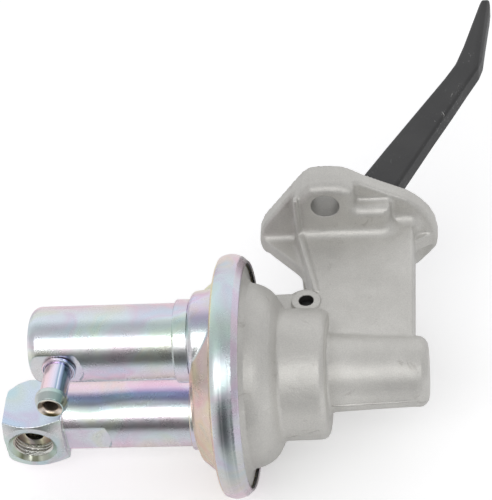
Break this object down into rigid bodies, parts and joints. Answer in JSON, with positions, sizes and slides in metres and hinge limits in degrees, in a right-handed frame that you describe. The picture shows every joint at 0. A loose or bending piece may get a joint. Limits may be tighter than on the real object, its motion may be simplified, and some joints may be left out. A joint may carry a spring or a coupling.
{
  "type": "mechanical fuel pump",
  "caption": "Engine-driven diaphragm fuel pump: bolted flange, long rocker arm, grey casting with spring tower, plated cover with rolled rim, hose barb inlet and threaded outlet.",
  "frame": {"origin": "midway between the two mounting bolt holes, on the mounting face", "axes": "+X along the pump axis from the fuel fittings to the spring tower, +Y out of the mounting face into the engine (the arm points this way), +Z along the rocker's pivot pin"},
  "size_m": [0.1872, 0.2616, 0.0916],
  "materials": {
    "cast_alloy": "fine blasted, matte",
    "clear_zinc": "bright zinc plate with a pale iridescent film",
    "clear_zinc_fitting": "bright zinc plate with a blue-green film",
    "black_forging": "satin black with light handling scratches",
    "bright_steel": "machined",
    "spring_steel": "oiled drawn wire",
    "rubber": "matte",
    "coated_fabric": "coated cloth, matte",
    "brass": "machined"
  },
  "bodies": {
    "housing": {"body_casting": "cast_alloy", "cover_shell": "clear_zinc", "inlet_canister": "clear_zinc", "hose_barb": "clear_zinc_fitting", "outlet_fitting": "clear_zinc", "pivot_pin": "bright_steel", "rocker_return_spring": "spring_steel", "diaphragm": "coated_fabric", "diaphragm_spring": "spring_steel", "rod_seal": "rubber", "seal_retainer": "bright_steel", "inlet_valve_seat": "brass", "inlet_valve_spring": "spring_steel", "inlet_valve_stem": "brass", "outlet_valve_seat": "brass", "outlet_valve_spring": "spring_steel", "outlet_valve_stem": "brass"},
    "rocker": {"rocker_arm": "black_forging"},
    "rod_group": {"pull_rod": "bright_steel", "spring_seat": "bright_steel", "upper_plate": "bright_steel", "lower_plate": "bright_steel", "rod_nut": "bright_steel"},
    "inlet_disc": {"inlet_valve_disc": "rubber"},
    "outlet_disc": {"outlet_valve_disc": "rubber"}
  },
  "joints": [
    {"name": "rocker_pivot", "type": "hinge", "parent": "housing", "child": "rocker", "pos_m": [-0.0068, -0.0501, 0], "axis": [0, 0, 1], "range_deg": [0, 10], "stiffness_Nm_per_rad": 1.5, "springref_deg": -20.05, "deforming": ["rocker_return_spring"]},
    {"name": "rod_slide", "type": "slide", "parent": "housing", "child": "rod_group", "axis": [1, 0, 0], "range_m": [0, 0.0047], "deforming": ["diaphragm_spring", "diaphragm"]},
    {"name": "inlet_disc_lift", "type": "slide", "parent": "housing", "child": "inlet_disc", "axis": [1, 0, 0], "range_m": [0, 0.0015], "stiffness_N_per_m": 40, "springref_m": -0.001, "deforming": ["inlet_valve_spring"]},
    {"name": "outlet_disc_lift", "type": "slide", "parent": "housing", "child": "outlet_disc", "axis": [-1, 0, 0], "range_m": [0, 0.0015], "stiffness_N_per_m": 40, "springref_m": -0.001, "deforming": ["outlet_valve_spring"]}
  ],
  "couplings": [
    {"joint": "rod_slide", "follows": "rocker_pivot", "m_per_rad": 0.0269}
  ]
}
